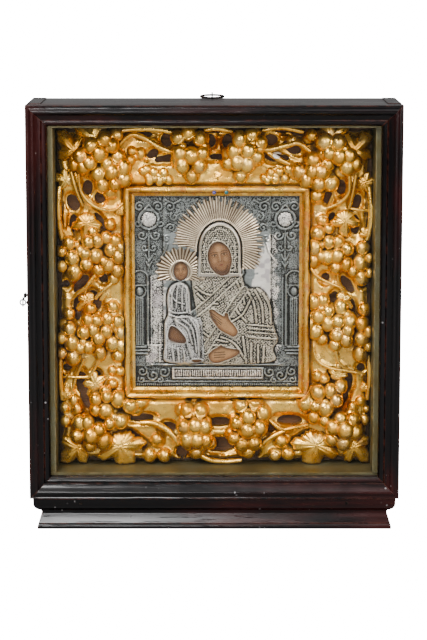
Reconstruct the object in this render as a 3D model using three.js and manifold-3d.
// An icon in its glazed case: a dark wooden box on a moulded plinth, with a hinged glass door. Inside,
// a gilded carving of vines and grapes surrounds an icon under an embossed metal cover.
// Millimetres. +Z is up, the front faces -Y, and the origin is the middle of the plinth's underside.
import * as THREE from "three";
import { mergeVertices } from "three/addons/utils/BufferGeometryUtils.js";
import Module from "manifold-3d";

const wasm = await Module();
wasm.setup();

// Driving dimensions
const gap = 0.3; // between pieces that touch
const frontY = -53.5; // the door's front face
const wallY = 53.5; // the back board's rear face

const door = { width: 430, height: 460, thickness: 20, rail: 24, bottomZ: 38.5, rebate: 6, mitreGap: 0.15 };
const centreZ = door.bottomZ + door.height / 2;
const doorBackY = frontY + door.thickness;
const glass = { width: 392, height: 422, frontDepth: 13, thickness: 2.5 };
const glazingBead = { width: 5, thickness: 3.9, fromBack: 0.3 };

const box = { width: 428, side: 15, board: 15, bottomZ: 38, topZ: 498, frontY: doorBackY + 0.4, proud: 1.2 };
const back = { thickness: 8 };
const boxBackY = wallY - back.thickness - gap;
const inside = { halfWidth: 185.5, bottomZ: 64.5, topZ: 471, frontY: frontY + 21 };

const plinth = { height: 37.7, halfWidth: 211.5, frontY: -49, moulding: 22, backRail: 14, board: 8 };
const screw = { radius: 3, z: 33.5, xs: { left: -155.6, right: 154.3 }, depth: 3 };

const carving = { groundY: 6.5, backY: 20.5, left: -181, right: 181, bottom: -199, top: 194 };
const sight = { x: 3.2, up: 2.4, width: 194.4, height: 230, moulding: 12.3, crestY: 4.5, backY: 16.5 };
const icon = { width: 222, height: 267, thickness: 22, frontY: 18.3 };
const cover = { width: 213, height: 250, frontY: 16.8, thickness: 1.2 };
const backing = { frontY: carving.backY + gap, thickness: 8 };

// Materials
const paint = (color, roughness, metalness = 0) =>
  new THREE.MeshStandardMaterial({ color, roughness, metalness });
const darkWood = paint(0x211614, 0.35);
const plainWood = paint(0x5a3c28, 0.8);
const bronzePaint = paint(0x4b4429, 0.55);
const gilding = paint(0xd8a53f, 0.35, 0.8);
const silver = paint(0xa7a49b, 0.35, 0.95);
const paleGold = paint(0xb5a486, 0.35, 0.95);
const darkIron = paint(0x1d1b19, 0.5, 0.8);
const clearGlass = paint(0xf2f7f5, 0.05);
clearGlass.transparent = true;
clearGlass.opacity = 0.15;

const group = new THREE.Group();

function add(name, geometry, material, position = [0, 0, 0]) {
  const mesh = new THREE.Mesh(geometry, material);
  mesh.name = name;
  mesh.position.set(...position);
  group.add(mesh);
}

// Box-shaped geometry between two opposite corners.
function blockBetween(low, high) {
  const size = high.map((value, i) => value - low[i]);
  const middle = high.map((value, i) => (value + low[i]) / 2);
  const geometry = new THREE.BoxGeometry(...size);
  return geometry.translate(...middle);
}

function board(name, low, high, material) {
  add(name, blockBetween(low, high), material);
}

// Closed geometry to a solid and back.
function solidOf(geometry) {
  const plain = geometry.index ? geometry.toNonIndexed() : geometry.clone();
  plain.deleteAttribute("normal");
  plain.deleteAttribute("uv");
  const merged = mergeVertices(plain, 1e-4);
  return new wasm.Manifold(
    new wasm.Mesh({
      numProp: 3,
      vertProperties: merged.attributes.position.array,
      triVerts: new Uint32Array(merged.index.array),
    }),
  );
}

function geometryOf(solid) {
  const mesh = solid.getMesh();
  const geometry = new THREE.BufferGeometry();
  geometry.setAttribute("position", new THREE.BufferAttribute(mesh.vertProperties, 3));
  geometry.setIndex(new THREE.BufferAttribute(mesh.triVerts, 1));
  const flat = geometry.toNonIndexed();
  flat.computeVertexNormals();
  return flat;
}

// An outline in the front view, solid from its back face to its front face. Up is from the case's centre.
function relief(shape, backY, faceY, bevel = 0, curveSegments = 4) {
  const geometry = new THREE.ExtrudeGeometry(shape, {
    depth: backY - faceY - 2 * bevel,
    bevelEnabled: bevel > 0,
    bevelThickness: bevel,
    bevelSize: bevel,
    bevelOffset: -bevel,
    bevelSegments: 1,
    curveSegments,
  });
  geometry.rotateX(Math.PI / 2);
  geometry.translate(0, backY - bevel, centreZ);
  return solidOf(geometry);
}

function polygon(points) {
  return new THREE.Shape(points.map(([x, up]) => new THREE.Vector2(x, up)));
}

function polygonSection(radius, sides) {
  const points = [];
  for (let i = 0; i < sides; i++) {
    const angle = (2 * Math.PI * i) / sides;
    points.push([radius * Math.cos(angle), radius * Math.sin(angle)]);
  }
  return polygon(points);
}

function ellipse(x, up, rx, rz, turn = 0, sides = 8) {
  const points = [];
  for (let i = 0; i < sides; i++) {
    const angle = (2 * Math.PI * i) / sides;
    const across = rx * Math.cos(angle);
    const along = rz * Math.sin(angle);
    points.push([
      x + across * Math.cos(turn) - along * Math.sin(turn),
      up + across * Math.sin(turn) + along * Math.cos(turn),
    ]);
  }
  return polygon(points);
}

function smoothOutline(points, divisions) {
  const corners = points.map(([x, up]) => new THREE.Vector3(x, up, 0));
  const curve = new THREE.CatmullRomCurve3(corners, true);
  const even = curve.getSpacedPoints(divisions);
  return polygon(even.slice(0, divisions).map((p) => [p.x, p.y]));
}

// Mitred lengths of moulding. A section is drawn as (inwards from the outer edge, forwards from the back).
function mitredLength(section, length) {
  const geometry = new THREE.ExtrudeGeometry(section, { depth: 1, bevelEnabled: false, curveSegments: 3 });
  const position = geometry.attributes.position;
  for (let i = 0; i < position.count; i++) {
    const inwards = position.getX(i);
    const cut = inwards + door.mitreGap;
    const along = position.getZ(i) < 0.5 ? cut : length - cut;
    position.setXYZ(i, along - length / 2, -position.getY(i), inwards);
  }
  return geometry;
}

// Four lengths around a rectangle of this outer size, as geometries about its centre.
function mitredFrame(section, width, height) {
  const sides = {
    bottom: { length: width, out: height / 2, turn: 0 },
    right: { length: height, out: width / 2, turn: -Math.PI / 2 },
    top: { length: width, out: height / 2, turn: Math.PI },
    left: { length: height, out: width / 2, turn: Math.PI / 2 },
  };
  const lengths = {};
  for (const [side, { length, out, turn }] of Object.entries(sides)) {
    const geometry = mitredLength(section, length);
    geometry.translate(0, 0, -out);
    geometry.rotateY(turn);
    lengths[side] = geometry;
  }
  return lengths;
}

// Plinth: a hollow under a plain top edge, flaring to a small round toe.
function plinthSection() {
  const s = new THREE.Shape();
  s.moveTo(0, plinth.height);
  s.lineTo(0.3, 30.5);
  s.quadraticCurveTo(1.5, 25, 8.2, 22.2);
  s.quadraticCurveTo(10.4, 19.5, 8.6, 16);
  s.lineTo(5.8, 7);
  s.lineTo(6.6, 6);
  s.lineTo(5, 4.6);
  s.quadraticCurveTo(3.8, 2.4, 5, 0);
  s.lineTo(plinth.moulding, 0);
  s.lineTo(plinth.moulding, plinth.height);
  s.closePath();
  return s;
}

function plinthLength(place) {
  const geometry = new THREE.ExtrudeGeometry(plinthSection(), {
    depth: 1,
    bevelEnabled: false,
    curveSegments: 3,
  });
  const position = geometry.attributes.position;
  for (let i = 0; i < position.count; i++) {
    position.setXYZ(i, ...place(position.getX(i), position.getY(i), position.getZ(i) < 0.5));
  }
  return geometry;
}

function makePlinth() {
  const half = plinth.halfWidth;
  const mitre = door.mitreGap;
  const cornerY = (inwards) => plinth.frontY + inwards + mitre;
  const front = plinthLength((inwards, up, isStart) => {
    const end = half - inwards - mitre;
    return [isStart ? -end : end, plinth.frontY + inwards, up];
  });
  let frontSolid = solidOf(front);
  for (const [side, x] of Object.entries(screw.xs)) {
    const plug = new THREE.CylinderGeometry(screw.radius, screw.radius, screw.depth, 8);
    plug.translate(x, plinth.frontY + screw.depth / 2 - 0.2, screw.z);
    const hole = new THREE.CylinderGeometry(screw.radius + gap, screw.radius + gap, 2 * screw.depth, 8);
    hole.translate(x, plinth.frontY + gap, screw.z);
    frontSolid = frontSolid.subtract(solidOf(hole));
    add(`plinth_screw_${side}`, plug, darkIron);
  }
  add("plinth_front", geometryOf(frontSolid), darkWood);
  add(
    "plinth_right",
    plinthLength((inwards, up, isStart) => [half - inwards, isStart ? cornerY(inwards) : wallY, up]),
    darkWood,
  );
  add(
    "plinth_left",
    plinthLength((inwards, up, isStart) => [inwards - half, isStart ? wallY : cornerY(inwards), up]),
    darkWood,
  );
  const clear = half - plinth.moulding - gap;
  const railY = wallY - plinth.backRail;
  board("plinth_back", [-clear, railY, 0], [clear, wallY, plinth.height], plainWood);
  const innerY = plinth.frontY + plinth.moulding + gap;
  board("base_board", [-clear, innerY, 0], [clear, railY - gap, plinth.board], plainWood);
}

// Hinges: narrow butts let in between the door and the case, so that only the barrel shows.
const hinge = {
  x: 214.6,
  y: (doorBackY + box.frontY) / 2,
  length: 24,
  barrel: 2,
  bore: 1.2,
  pin: 0.9,
  leaf: { width: 12, thickness: 1, clear: 2.5 },
  heights: { upper: 429, lower: 134 },
};

function hingeLeaf(isDoorLeaf) {
  const { barrel, bore, leaf, length } = hinge;
  const knuckle = length / 3;
  const facing = isDoorLeaf ? -1 : 1;
  const spans = isDoorLeaf
    ? [[-knuckle / 2 + 0.2, knuckle / 2 - 0.2]]
    : [[-length / 2, -knuckle / 2], [knuckle / 2, length / 2]];
  const near = 0.1 * facing;
  const far = (0.1 + leaf.thickness) * facing;
  const plate = (x0, x1, z0, z1) =>
    solidOf(blockBetween([x0, Math.min(near, far), z0], [x1, Math.max(near, far), z1]));
  let solid = plate(-leaf.width, -leaf.clear, -length / 2, length / 2);
  for (const [z0, z1] of spans) {
    const ring = new THREE.Shape();
    ring.absarc(0, 0, barrel, 0, 2 * Math.PI);
    const hole = new THREE.Path();
    hole.absarc(0, 0, bore, 0, 2 * Math.PI, true);
    ring.holes.push(hole);
    const tube = new THREE.ExtrudeGeometry(ring, { depth: z1 - z0, bevelEnabled: false, curveSegments: 5 });
    tube.translate(0, 0, z0);
    solid = solid.add(solidOf(tube)).add(plate(-leaf.clear - 0.1, -bore - 0.2, z0, z1));
  }
  return geometryOf(solid);
}

function makeHinges() {
  for (const [place, z] of Object.entries(hinge.heights)) {
    const position = [hinge.x, hinge.y, z];
    add(`hinge_${place}_door_leaf`, hingeLeaf(true), darkIron, position);
    add(`hinge_${place}_case_leaf`, hingeLeaf(false), darkIron, position);
    const pin = new THREE.CylinderGeometry(hinge.pin, hinge.pin, hinge.length + 1, 8);
    add(`hinge_${place}_pin`, pin.rotateX(Math.PI / 2), darkIron, position);
  }
}

// What the hinges take out of the door's stile and of the case's side.
function cutHinges(solid) {
  const { leaf, length } = hinge;
  const half = length / 2 + 0.5 + gap;
  const reach = leaf.thickness + 0.1 + gap;
  let cut = solid;
  for (const z of Object.values(hinge.heights)) {
    const bed = blockBetween([-leaf.width - gap, -reach, -length / 2 - gap], [0, reach, length / 2 + gap]);
    const well = new THREE.CylinderGeometry(hinge.barrel + 0.5, hinge.barrel + 0.5, 2 * half, 10);
    well.rotateX(Math.PI / 2);
    for (const cutter of [bed, well]) {
      cut = cut.subtract(solidOf(cutter.translate(hinge.x, hinge.y, z)));
    }
  }
  return cut;
}

// Case and its painted lining
function makeCase() {
  const half = box.width / 2;
  const inner = half - box.side;
  const sideTop = box.topZ + box.proud;
  board("case_left_side", [-half, box.frontY, box.bottomZ], [-inner, boxBackY, sideTop], darkWood);
  const right = blockBetween([inner, box.frontY, box.bottomZ], [half, boxBackY, sideTop]);
  add("case_right_side", geometryOf(cutHinges(solidOf(right))), darkWood);
  const fit = inner - gap;
  const underTop = box.topZ - box.board;
  const aboveBottom = box.bottomZ + box.board;
  board("case_top", [-fit, box.frontY, underTop], [fit, boxBackY, box.topZ], darkWood);
  board("case_bottom", [-fit, box.frontY, box.bottomZ], [fit, boxBackY, aboveBottom], darkWood);
  board("back_board", [-half, wallY - back.thickness, box.bottomZ], [half, wallY, box.topZ], darkWood);

  const { halfWidth, bottomZ, topZ } = inside;
  const y = inside.frontY;
  board("lining_bottom", [-fit, y, aboveBottom + gap], [fit, boxBackY, bottomZ], bronzePaint);
  board("lining_top", [-fit, y, topZ], [fit, boxBackY, underTop - gap], bronzePaint);
  board("lining_left", [-fit, y, bottomZ + gap], [-halfWidth, boxBackY, topZ - gap], bronzePaint);
  board("lining_right", [halfWidth, y, bottomZ + gap], [fit, boxBackY, topZ - gap], bronzePaint);
}

// Door: a bold round inside a hollow outer edge, then an ogee, a quirk and a small flat at the glass.
function doorSection() {
  const height = door.thickness;
  const rebateHeight = height - glass.frontDepth + gap;
  const s = new THREE.Shape();
  s.moveTo(0, 0);
  s.lineTo(0, 16.8);
  s.lineTo(1, 18);
  s.quadraticCurveTo(3.4, 17, 4.8, 18.2);
  s.quadraticCurveTo(7, 21, 9.4, 19.2);
  s.quadraticCurveTo(12.4, 15.4, 16.8, 13.4);
  s.lineTo(17.2, 11.8);
  s.lineTo(18, 13.6);
  s.quadraticCurveTo(20, 14.4, 22, 13.2);
  s.lineTo(door.rail, 10.8);
  s.lineTo(door.rail, rebateHeight);
  s.lineTo(door.rail - door.rebate, rebateHeight);
  s.lineTo(door.rail - door.rebate, 0);
  s.closePath();
  return s;
}

function makeDoor() {
  const at = [0, doorBackY, centreZ];
  const rails = mitredFrame(doorSection(), door.width, door.height);
  add("door_top_rail", rails.top, darkWood, at);
  add("door_bottom_rail", rails.bottom, darkWood, at);
  add("door_left_stile", rails.left, darkWood, at);
  const right = solidOf(rails.right.translate(...at));
  add("door_right_stile", geometryOf(cutHinges(right)), darkWood);

  const glassY = frontY + glass.frontDepth;
  board(
    "glass_pane",
    [-glass.width / 2, glassY, centreZ - glass.height / 2],
    [glass.width / 2, glassY + glass.thickness, centreZ + glass.height / 2],
    clearGlass,
  );

  const { width, thickness, fromBack } = glazingBead;
  const strip = new THREE.Shape();
  strip.moveTo(0, fromBack);
  strip.lineTo(width, fromBack + 1.4);
  strip.lineTo(width, fromBack + thickness);
  strip.lineTo(0, fromBack + thickness);
  strip.closePath();
  for (const [side, geometry] of Object.entries(mitredFrame(strip, glass.width, glass.height))) {
    add(`glazing_bead_${side}`, geometry, darkWood, at);
  }
}

// Wire ring about its own Z axis.
const wireRing = (radius, wire, along = 10) => new THREE.TorusGeometry(radius, wire, 5, along);

// Eye on the door's left edge, and a hook that turns on a long screw in the case's side.
const latch = { x: -220.6, eyeY: -43.5, eyeZ: 270, eye: 3.2, wire: 0.8, pivotY: -11.5, hookZ: 272.2 };

function makeLatch() {
  const { wire } = latch;
  const doorEdge = -door.width / 2;
  const shankStart = latch.x + latch.eye;
  const shank = blockBetween([shankStart, -wire, -wire], [doorEdge - gap, wire, wire]);
  const eye = wireRing(latch.eye, wire);
  shank.translate(-latch.x, 0, 0);
  const eyeSolid = solidOf(eye).add(solidOf(shank));
  add("door_eye", geometryOf(eyeSolid), darkIron, [latch.x, latch.eyeY, latch.eyeZ]);

  // The hook's wire, from its lifting finger back and down through the eye, then along to the loop.
  const reach = latch.pivotY - latch.eyeY;
  const loop = 2.6;
  const wirePath = (points) => {
    const curve = new THREE.CatmullRomCurve3(points.map(([y, z]) => new THREE.Vector3(0, y, z)));
    const section = polygonSection(wire, 5);
    return solidOf(new THREE.ExtrudeGeometry(section, { extrudePath: curve, steps: 2 * points.length - 2 }));
  };
  const tip = wirePath([[-reach, -7.5], [-reach, -3.4], [-reach + 1, -0.8], [-reach + 4, 0], [-loop, 0]]);
  const finger = wirePath([[-reach + 3.4, -0.4], [-reach + 2.2, 2], [-reach + 0.6, 4]]);
  const ring = wireRing(loop, wire, 8).rotateY(Math.PI / 2);
  const hook = tip.add(finger).add(solidOf(ring));
  add("latch_hook", geometryOf(hook), darkIron, [latch.x, latch.pivotY, latch.hookZ]);

  const caseSide = -box.width / 2;
  const headX = latch.x - 1.3;
  const shaft = new THREE.CylinderGeometry(1.3, 1.3, caseSide - gap - headX, 8);
  shaft.rotateZ(Math.PI / 2).translate((caseSide - gap + headX) / 2, 0, 0);
  const head = new THREE.CylinderGeometry(2.8, 2, 1.2, 10);
  head.rotateZ(Math.PI / 2).translate(headX - 0.5, 0, 0);
  const pivot = solidOf(shaft).add(solidOf(head));
  add("hook_pivot_screw", geometryOf(pivot), darkIron, [0, latch.pivotY, latch.hookZ]);
}

// Hanging ring: an oval of wire in a screw eye on the back board's top edge.
const hanger = { x: -2.5, y: 49.5, eyeZ: 502, eye: 2.9, eyeWire: 0.8, wire: 1.2, width: 29.5, depth: 14 };

function makeHanger() {
  const eye = wireRing(hanger.eye, hanger.eyeWire, 10).rotateY(Math.PI / 2);
  const foot = box.topZ + gap - hanger.eyeZ;
  const stem = blockBetween([-0.8, -0.8, foot], [0.8, 0.8, -hanger.eye + 0.2]);
  const staple = solidOf(eye).add(solidOf(stem));
  add("hanger_staple", geometryOf(staple), darkIron, [hanger.x, hanger.y, hanger.eyeZ]);

  // It leans forward from the eye onto the top board.
  const rx = hanger.width / 2 - hanger.wire;
  const ry = hanger.depth / 2 - hanger.wire;
  const restZ = box.topZ + hanger.wire + gap;
  const oval = new THREE.EllipseCurve(0, -ry, rx, ry);
  const points = oval.getSpacedPoints(18).slice(0, 18).map((p) => new THREE.Vector3(p.x, p.y, 0));
  const path = new THREE.CatmullRomCurve3(points, true);
  const ring = new THREE.ExtrudeGeometry(polygonSection(hanger.wire, 5), { extrudePath: path, steps: 16 });
  ring.rotateX(Math.asin((hanger.eyeZ - restZ) / (2 * ry)));
  add("hanger_ring", ring, darkIron, [hanger.x, hanger.y, hanger.eyeZ]);
}

// Gilt moulding round the icon: a broad round that falls through a hollow to a thin lip.
function makeSightMoulding() {
  const width = sight.moulding;
  const height = sight.backY - sight.crestY;
  const s = new THREE.Shape();
  s.moveTo(0, 0);
  s.lineTo(0, height - 3);
  s.quadraticCurveTo(0.8, height, 3.6, height);
  s.quadraticCurveTo(6.6, height, 7.6, height - 3.6);
  s.quadraticCurveTo(8.2, height - 8, 9.4, 3.4);
  s.lineTo(width, 3);
  s.lineTo(width, 0);
  s.closePath();
  const outerWidth = sight.width + 2 * width;
  const outerHeight = sight.height + 2 * width;
  for (const [side, geometry] of Object.entries(mitredFrame(s, outerWidth, outerHeight))) {
    add(`sight_moulding_${side}`, geometry, gilding, [sight.x, sight.backY, centreZ + sight.up]);
  }
}

// The carving, with places in millimetres across and up from the case's centre.

// Bunches of grapes, hanging straight down before the turn, and how far their middle stands out.
const sideBunches = [
  { x: -144, up: 166, width: 43, length: 50, turn: -0.8, stand: 23 },
  { x: -116, up: 146, width: 37, length: 50, turn: -0.8, stand: 19 },
  { x: -79, up: 144, width: 44, length: 20, turn: 0.1, stand: 8 },
  { x: -144, up: 47, width: 26, length: 48, turn: 0, stand: 16 },
  { x: -119, up: 54, width: 27, length: 58, turn: 0, stand: 13 },
  { x: -143, up: -44, width: 27, length: 62, turn: 0, stand: 16 },
  { x: -118, up: -40, width: 26, length: 60, turn: 0, stand: 13 },
  { x: -114, up: -131, width: 42, length: 66, turn: -0.75, stand: 18 },
  { x: -146, up: -163, width: 42, length: 50, turn: 0.7, stand: 23 },
];
const middleBunches = [
  { x: -29, up: 167, width: 38, length: 58, turn: 0.06, stand: 22 },
  { x: 34, up: 167, width: 38, length: 58, turn: -0.1, stand: 22 },
  { x: -24, up: -158, width: 38, length: 62, turn: 0.05, stand: 23 },
  { x: 40, up: -158, width: 38, length: 62, turn: -0.1, stand: 23 },
];

// Single berries, as a row from its first place to its last.
const sideBerries = [
  { x: -170, up: 60, toX: -166, toUp: 26, count: 3, r: 8.6, stand: 12 },
  { x: -170, up: -40, toX: -166, toUp: -74, count: 3, r: 8.6, stand: 12 },
  { x: -122, up: 125, toX: -122, toUp: 125, count: 1, r: 7.8, stand: 8 },
  { x: -171, up: -134, toX: -172, toUp: -156, count: 2, r: 7, stand: 6 },
  { x: -122, up: -90, toX: -112, toUp: -96, count: 2, r: 6, stand: 3 },
];
const middleBerries = [
  { x: -74, up: -193, toX: -59, toUp: -193, count: 2, r: 8, stand: 9 },
  { x: -67, up: -177, toX: -67, toUp: -177, count: 1, r: 8, stand: 10 },
  { x: 72, up: -193, toX: 87, toUp: -192, count: 2, r: 8, stand: 9 },
  { x: 80, up: -176, toX: 80, toUp: -176, count: 1, r: 8, stand: 10 },
];

// Vine leaves, with the way that the tip points turned from straight up, and how far they stand out.
const sideLeaves = [
  { x: -163, up: 172, size: 24, turn: 0.7, stand: 4 },
  { x: -133, up: 188, size: 15, turn: 0.2, stand: 4 },
  { x: -172, up: 138, size: 17, turn: 1.3, stand: 3 },
  { x: -150, up: 86, size: 20, turn: 3.1, stand: 5 },
  { x: -150, up: -6, size: 15, turn: 2.4, stand: 3 },
  { x: -137, up: -100, size: 17, turn: 0.4, stand: 2 },
  { x: -162, up: -182, size: 23, turn: 2.4, stand: 3 },
  { x: -116, up: -183, size: 24, turn: 3.5, stand: 4 },
];

// Openings through the ground: middle, half sizes and turn.
const sideOpenings = [
  { x: -149, up: 128, rx: 6, rz: 9.5, turn: 0 },
  { x: -167, up: 110, rx: 7, rz: 8, turn: 0.6 },
  { x: -168, up: 83, rx: 5.5, rz: 10, turn: 0 },
  { x: -133, up: 87, rx: 4.5, rz: 12, turn: 0.5 },
  { x: -157, up: 12, rx: 5.5, rz: 13, turn: -0.6 },
  { x: -138, up: -10, rx: 6, rz: 10, turn: 0.4 },
  { x: -162, up: -20, rx: 5, rz: 13, turn: 0 },
  { x: -175, up: -87, rx: 4.8, rz: 4.8, turn: 0 },
  { x: -158, up: -106, rx: 8, rz: 14, turn: 0 },
  { x: -150, up: -127, rx: 4.5, rz: 13, turn: 0.4 },
  { x: -88, up: -149, rx: 14, rz: 5.5, turn: 0 },
  { x: -94, up: -172, rx: 15, rz: 7, turn: -0.6 },
];
const middleOpenings = [
  { x: -72, up: 170, rx: 9, rz: 4.5, turn: 0.2 },
  { x: -56, up: 182, rx: 6.5, rz: 8, turn: 0 },
  { x: -3, up: 182, rx: 6.5, rz: 7.5, turn: 0 },
  { x: 4, up: 164, rx: 9.5, rz: 4, turn: 0 },
  { x: 14, up: 183, rx: 6, rz: 8, turn: 0 },
  { x: 76, up: 163, rx: 14, rz: 4.6, turn: -0.1 },
  { x: 92, up: 174, rx: 10, rz: 5, turn: -0.5 },
  { x: -52, up: -160, rx: 8.5, rz: 7, turn: 0 },
  { x: 8, up: -152, rx: 12, rz: 6, turn: 0 },
  { x: 8, up: -181, rx: 17, rz: 9, turn: 0 },
  { x: 66, up: -160, rx: 7, rz: 6.5, turn: 0 },
  { x: -38, up: -190, rx: 6.5, rz: 6.5, turn: 0 },
  { x: 49, up: -190, rx: 7.5, rz: 6.5, turn: 0 },
];

// Stems and rims
const sideStems = [
  [[-178, 132], [-181, 108], [-178, 84], [-176, 66]],
  [[-157, 144], [-153, 120], [-144, 108], [-124, 106]],
  [[-178, -76], [-180, -98], [-178, -122]],
  [[-178, -97], [-158, -96], [-142, -82], [-136, -68]],
  [[-178, 26], [-179, 2], [-178, -26]],
];
const middleStems = [
  [[-128, 186], [-100, 196], [-62, 196], [-44, 190]],
  [[-108, 181], [-84, 178], [-68, 176], [-58, 170]],
  [[-12, 196], [6, 194], [24, 192]],
  [[50, 178], [74, 176], [100, 180], [122, 170]],
  [[-90, -153], [-70, -156], [-46, -170], [-40, -180]],
  [[104, -153], [84, -157], [62, -168], [56, -180]],
  [[-22, -192], [-4, -198], [24, -198], [40, -194]],
  [[-8, -168], [10, -166], [26, -168]],
];

const mirrored = (list) => [...list, ...list.map((o) => ({ ...o, x: -o.x, turn: -o.turn }))];
const flip = (line) => line.map(([x, up]) => [-x, up]);
const bunches = [...mirrored(sideBunches), ...middleBunches];
const otherSide = sideBerries.map((row) => ({ ...row, x: -row.x, toX: -row.toX }));
const berryRows = [...sideBerries, ...otherSide, ...middleBerries];
const leaves = mirrored(sideLeaves);
const openings = [...mirrored(sideOpenings), ...middleOpenings];
const stems = [...sideStems, ...sideStems.map(flip), ...middleStems];

// An egg-shaped mass, narrow at the tip, whose surface rises to a berry and dips between two by turns.
function bunchSolid({ x, up, width, length, turn, stand }) {
  const around = 8;
  const rings = 5;
  const geometry = new THREE.SphereGeometry(1, around, rings);
  const position = geometry.attributes.position;
  for (let ring = 1; ring < rings; ring++) {
    const taper = 1.12 - (0.36 * ring) / rings;
    for (let i = 0; i <= around; i++) {
      const corner = ring * (around + 1) + i;
      const swell = (i + ring) % 2 ? 0.78 : 1.04;
      position.setX(corner, position.getX(corner) * taper * swell);
      position.setZ(corner, position.getZ(corner) * taper * swell);
    }
  }
  geometry.rotateX(Math.PI / 2);
  geometry.scale(width / 2, stand, length / 2);
  geometry.rotateY(-turn);
  return solidOf(geometry.translate(x, carving.groundY, centreZ + up));
}

function berrySolids({ x, up, toX, toUp, count, r, stand }) {
  const berries = [];
  for (let i = 0; i < count; i++) {
    const t = count > 1 ? i / (count - 1) : 0;
    const berry = new THREE.IcosahedronGeometry(r, 0);
    berry.scale(1, (stand + r) / r, 1);
    berry.translate(x + (toX - x) * t, carving.groundY, centreZ + up + (toUp - up) * t);
    berries.push(solidOf(berry));
  }
  return berries;
}

// A lobed blade, highest along its middle.
function leafSolid({ x, up, size, turn, stand }) {
  const lobes = [-2.3, -1.15, 0, 1.15, 2.3];
  const lengths = [0.7, 0.92, 1.06, 0.92, 0.7];
  const outline = lobes.flatMap((angle, i) => [[angle, lengths[i]], [angle + 0.58, 0.56]]);
  const rimY = carving.groundY - stand;
  const topY = rimY - 0.16 * size;
  const rootY = carving.groundY + 3;
  const rim = outline.map(([angle, length]) => [
    x - size * length * Math.sin(angle + turn),
    centreZ + up + size * length * Math.cos(angle + turn),
  ]);
  const count = rim.length;
  const vertices = [];
  for (const [px, pz] of rim) vertices.push(px, rimY, pz);
  for (const [px, pz] of rim) vertices.push(px, rootY, pz);
  vertices.push(x, topY, centreZ + up, x, rootY, centreZ + up);
  const index = [];
  for (let i = 0; i < count; i++) {
    const next = (i + 1) % count;
    index.push(i, next, 2 * count);
    index.push(next, i, count + i, next, count + i, count + next);
    index.push(count + next, count + i, 2 * count + 1);
  }
  const geometry = new THREE.BufferGeometry();
  geometry.setAttribute("position", new THREE.Float32BufferAttribute(vertices, 3));
  geometry.setIndex(index);
  return solidOf(geometry);
}

function stemSolid(points, radius = 3.4) {
  const y = carving.groundY - 1;
  const curve = new THREE.CatmullRomCurve3(points.map(([x, up]) => new THREE.Vector3(x, y, centreZ + up)));
  const section = polygonSection(radius, 4);
  const steps = points.length;
  return solidOf(new THREE.ExtrudeGeometry(section, { extrudePath: curve, steps }));
}

// The ground: a board with a wavy outer edge, pierced, and open for the moulding and the icon.
function groundSolid() {
  const { left, right, bottom, top } = carving;
  const corners = [[left, bottom], [right, bottom], [right, top], [left, top]];
  const waves = 7;
  const perWave = 3;
  const outline = [];
  corners.forEach(([x0, up0], i) => {
    const [x1, up1] = corners[(i + 1) % corners.length];
    const length = Math.hypot(x1 - x0, up1 - up0);
    const inwards = [-(up1 - up0) / length, (x1 - x0) / length];
    for (let k = 0; k < waves * perWave; k++) {
      const t = k / (waves * perWave);
      const dip = k % perWave ? 0.4 : 3.6;
      outline.push([x0 + (x1 - x0) * t + inwards[0] * dip, up0 + (up1 - up0) * t + inwards[1] * dip]);
    }
  });
  let ground = relief(polygon(outline), carving.backY, carving.groundY);
  for (const { x, up, rx, rz, turn } of openings) {
    ground = ground.subtract(relief(ellipse(x, up, rx, rz, turn, 6), carving.backY + 5, carving.groundY - 5));
  }
  return ground;
}

function makeCarving() {
  const parts = [groundSolid()];
  for (const line of stems) parts.push(stemSolid(line));
  for (const leaf of leaves) parts.push(leafSolid(leaf));
  for (const bunch of bunches) parts.push(bunchSolid(bunch));
  for (const row of berryRows) parts.push(...berrySolids(row));
  let solid = parts[0];
  for (const part of parts.slice(1)) solid = solid.add(part);
  const opening = (width, height, y0, y1) =>
    solidOf(
      blockBetween(
        [sight.x - width / 2, y0, centreZ + sight.up - height / 2],
        [sight.x + width / 2, y1, centreZ + sight.up + height / 2],
      ),
    );
  const mouldingWidth = sight.width + 2 * sight.moulding + 2 * gap;
  const mouldingHeight = sight.height + 2 * sight.moulding + 2 * gap;
  solid = solid.subtract(opening(mouldingWidth, mouldingHeight, -60, 60));
  solid = solid.subtract(opening(icon.width + 2 * gap, icon.height + 2 * gap, sight.backY, 60));
  // Nothing goes past the lining or the back.
  const room = blockBetween(
    [-inside.halfWidth + gap, -60, inside.bottomZ + gap],
    [inside.halfWidth - gap, carving.backY, inside.topZ - gap],
  );
  solid = solid.intersect(solidOf(room));
  add("carved_frame", geometryOf(solid), gilding);
}

function makeBacking() {
  const { frontY: y0, thickness } = backing;
  const y1 = y0 + thickness;
  const half = inside.halfWidth - gap;
  const low = inside.bottomZ + gap;
  const high = inside.topZ - gap;
  const left = sight.x - icon.width / 2 - gap;
  const right = sight.x + icon.width / 2 + gap;
  const under = centreZ + sight.up - icon.height / 2 - gap;
  const over = centreZ + sight.up + icon.height / 2 + gap;
  board("backing_bottom", [-half, y0, low], [half, y1, under], plainWood);
  board("backing_top", [-half, y0, over], [half, y1, high], plainWood);
  board("backing_left", [-half, y0, under + gap], [left, y1, over - gap], plainWood);
  board("backing_right", [right, y0, under + gap], [half, y1, over - gap], plainWood);
}

// Icon: what the cover leaves open shows the painted board.
const head = {
  hood: { x: 6.5, up: 54, rx: 26.5, rz: 34, foot: 20, faceY: 11.2 },
  face: { x: 6.5, up: 43, rx: 14, rz: 20, turn: 0.18 },
  neck: { x: 10, up: 31.5, rx: 9, rz: 10, turn: 0 },
};
const child = { x: -39.6, up: 27, rx: 8.6, rz: 11.6 };
const halo = {
  mother: { x: 5, up: 62, radius: 56, rays: 34, from: -0.6, frontY: 11.9, thickness: 1.2 },
  child: { radius: 30, rays: 20, frontY: 13.8, thickness: 1.1, footUp: 16.5 },
};

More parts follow.
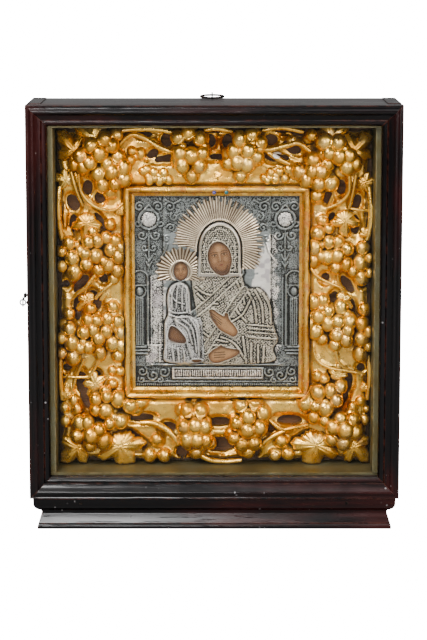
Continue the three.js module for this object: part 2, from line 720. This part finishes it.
function hoodOutline(grow) {
  const { x, up, rx, rz, foot } = head.hood;
  const points = [];
  for (let i = 0; i <= 12; i++) {
    const angle = (Math.PI * i) / 12;
    points.push([x + (rx + grow) * Math.cos(angle), up + (rz + grow) * Math.sin(angle)]);
  }
  return [[x + rx + grow, foot], ...points, [x - rx - grow, foot]];
}

function makeCover() {
  const faceY = cover.frontY;
  const rearY = faceY + cover.thickness;
  const embossed = (shape, height, bevel = 0.5) => relief(shape, rearY - 0.2, faceY - height, bevel);
  const half = cover.width / 2;
  const low = sight.up - cover.height / 2;
  const high = sight.up + cover.height / 2;
  const x0 = sight.x;
  let solid = relief(
    polygon([[x0 - half, low], [x0 + half, low], [x0 + half, high], [x0 - half, high]]),
    rearY,
    faceY,
  );
  const raise = (shape, height, bevel) => {
    solid = solid.add(embossed(shape, height, bevel));
  };

  // The mother's mantle and hood, then the child.
  raise(
    smoothOutline(
      [[-27, 8], [-20, 42], [6, 60], [33, 42], [38, 6], [54, 6], [67, -8], [74, -40], [72, -84], [-22, -84]],
      30,
    ),
    1.6,
    0.6,
  );
  raise(polygon(hoodOutline(0)), faceY - head.hood.faceY, 1.6);
  raise(
    smoothOutline(
      [[-40, 14], [-54, 6], [-56, -24], [-50, -46], [-40, -62], [-26, -83], [-14, -82], [-16, -34], [-29, 6]],
      24,
    ),
    2.6,
    0.8,
  );

  // Borders of the mantle and folds, as ridges from one point to another.
  const ridge = (x1, up1, x2, up2, width, height) => {
    const length = Math.hypot(x2 - x1, up2 - up1);
    const along = [(x2 - x1) / length, (up2 - up1) / length];
    const side = [(-along[1] * width) / 2, (along[0] * width) / 2];
    const corners = [
      [x1 + side[0], up1 + side[1]],
      [x1 - side[0], up1 - side[1]],
      [x2 - side[0], up2 - side[1]],
      [x2 + side[0], up2 + side[1]],
    ];
    raise(polygon(corners), height, 0);
  };
  ridge(32, 20, -27, -26, 7, 2.5);
  ridge(37, 4, -11, -66, 5, 2.4);
  ridge(40, -36, 74, -38, 4, 2.4);
  ridge(44, -46, 75, -50, 4, 2.4);
  for (let fold = 0; fold < 4; fold++) {
    ridge(43 + fold * 7, -fold * 2, 46 + fold * 7, -32, 2, 2.2);
    ridge(-50 + fold * 8, -32 - fold * 2, -38 + fold * 6, -76, 2, 3.2);
  }

  // Medallions, columns and small figures at the sides.
  for (const side of [-1, 1]) {
    const across = (offset) => x0 + side * offset;
    raise(ellipse(across(80), 89, 11.5, 11.5, 0, 10), 1.2, 0);
    raise(ellipse(across(80), 89, 8.5, 8.5, 0, 8), 1.8, 0.4);
    ridge(across(80), 75, across(80), 40, 4, 0.9);
    ridge(across(84.5), 2, across(84.5), -63, 3.4, 1.5);
    ridge(across(91), -3, across(91), -62, 5, 1.7);
    raise(ellipse(across(91), 3.5, 4.2, 5.4), 2.1, 0.3);
    ridge(across(78), -68, across(95), -68, 6, 2);
    ridge(across(77), -102, across(93), -93, 3, 1.1);
  }

  // The step below the figures, with a tablet that carries short strokes.
  const stepLeft = x0 - 74;
  ridge(stepLeft, -86, x0 + 72, -86, 2.4, 2);
  ridge(x0 - 52, -96, x0 + 54, -96, 16, 1);
  const strokes = 14;
  for (let i = 0; i < strokes; i++) {
    const x = x0 - 45 + (92 * i) / (strokes - 1);
    const lean = (i % 3) - 1;
    ridge(x, -92.6, x + lean, -99.2, 1.4, 1.6);
  }

  const openShapes = [
    ellipse(head.face.x, head.face.up, head.face.rx, head.face.rz, head.face.turn, 14),
    ellipse(head.neck.x, head.neck.up, head.neck.rx, head.neck.rz, 0, 8),
    ellipse(child.x, child.up, child.rx, child.rz, 0, 12),
    smoothOutline([[-6, -20], [6, -22], [24, -38], [28, -48], [22, -52], [6, -38]], 12),
    smoothOutline([[-6, -74], [10, -66], [30, -68], [26, -76], [6, -83], [-4, -81]], 12),
    smoothOutline([[-52, -40], [-38, -42], [-32, -54], [-36, -59], [-54, -54]], 9),
    ellipse(-21, -81, 6, 2.4, 0, 7),
  ];
  for (const shape of openShapes) {
    solid = solid.subtract(relief(shape, rearY + 2, head.hood.faceY - 2));
  }
  add("icon_cover", geometryOf(solid), silver);
}

// A rayed rim: long and short points in turn.
function rayedRim(x, up, radius, rays, from, to) {
  const points = [];
  for (let i = 0; i <= 2 * rays; i++) {
    const angle = from + ((to - from) * i) / (2 * rays);
    const reach = i % 2 ? radius : radius - 5;
    points.push([x + reach * Math.cos(angle), up + reach * Math.sin(angle)]);
  }
  return points;
}

function makeHalos() {
  const { mother } = halo;
  const rim = rayedRim(mother.x, mother.up, mother.radius, mother.rays, mother.from, Math.PI - mother.from);
  const footUp = rim[0][1];
  const inner = hoodOutline(0.5).filter(([, up]) => up > footUp);
  const side = head.hood.rx + 0.5;
  const horseshoe = [...rim, [head.hood.x - side, footUp], ...inner.reverse(), [head.hood.x + side, footUp]];
  const clear = ellipse(child.x, child.up, halo.child.radius + 1, halo.child.radius + 1, 0, 16);
  const rearY = mother.frontY + mother.thickness;
  const plate = relief(polygon(horseshoe), rearY, mother.frontY).subtract(
    relief(clear, rearY + 1, mother.frontY - 1),
  );
  add("mother_halo", geometryOf(plate), paleGold);

  const small = halo.child;
  const disc = polygon(rayedRim(child.x, child.up, small.radius, small.rays, 0, 2 * Math.PI).slice(0, -1));
  const hole = ellipse(child.x, child.up, child.rx + 0.6, child.rz + 0.6, 0, 12);
  const smallRearY = small.frontY + small.thickness;
  let ring = relief(disc, smallRearY, small.frontY);
  ring = ring.subtract(relief(hole, smallRearY + 1, small.frontY - 1));
  const reach = small.radius + 1;
  const low = child.up - reach;
  const body = [
    [child.x - reach, low],
    [child.x + reach, low],
    [child.x + reach, small.footUp],
    [child.x - reach, small.footUp],
  ];
  for (const covered of [hoodOutline(0.5), body]) {
    ring = ring.subtract(relief(polygon(covered), smallRearY + 1, small.frontY - 1));
  }
  add("child_halo", geometryOf(ring), paleGold);

  for (const [place, x] of [["left", 0], ["right", 14.2]]) {
    const stone = new THREE.SphereGeometry(2.3, 8, 4);
    stone.scale(1, 0.7, 1);
    const y = sight.crestY - 2;
    add(`halo_stone_${place}`, stone, paint(0x4c5f86, 0.2), [x, y, centreZ + 123]);
  }
}

function makeIconBoard() {
  const half = icon.width / 2;
  const middle = centreZ + sight.up;
  board(
    "icon_board",
    [sight.x - half, icon.frontY, middle - icon.height / 2],
    [sight.x + half, icon.frontY + icon.thickness, middle + icon.height / 2],
    paint(0x7d5738, 0.6),
  );
}

makePlinth();
makeCase();
makeDoor();
makeHinges();
makeLatch();
makeHanger();
makeBacking();
makeCarving();
makeSightMoulding();
makeIconBoard();
makeCover();
makeHalos();

export default group;
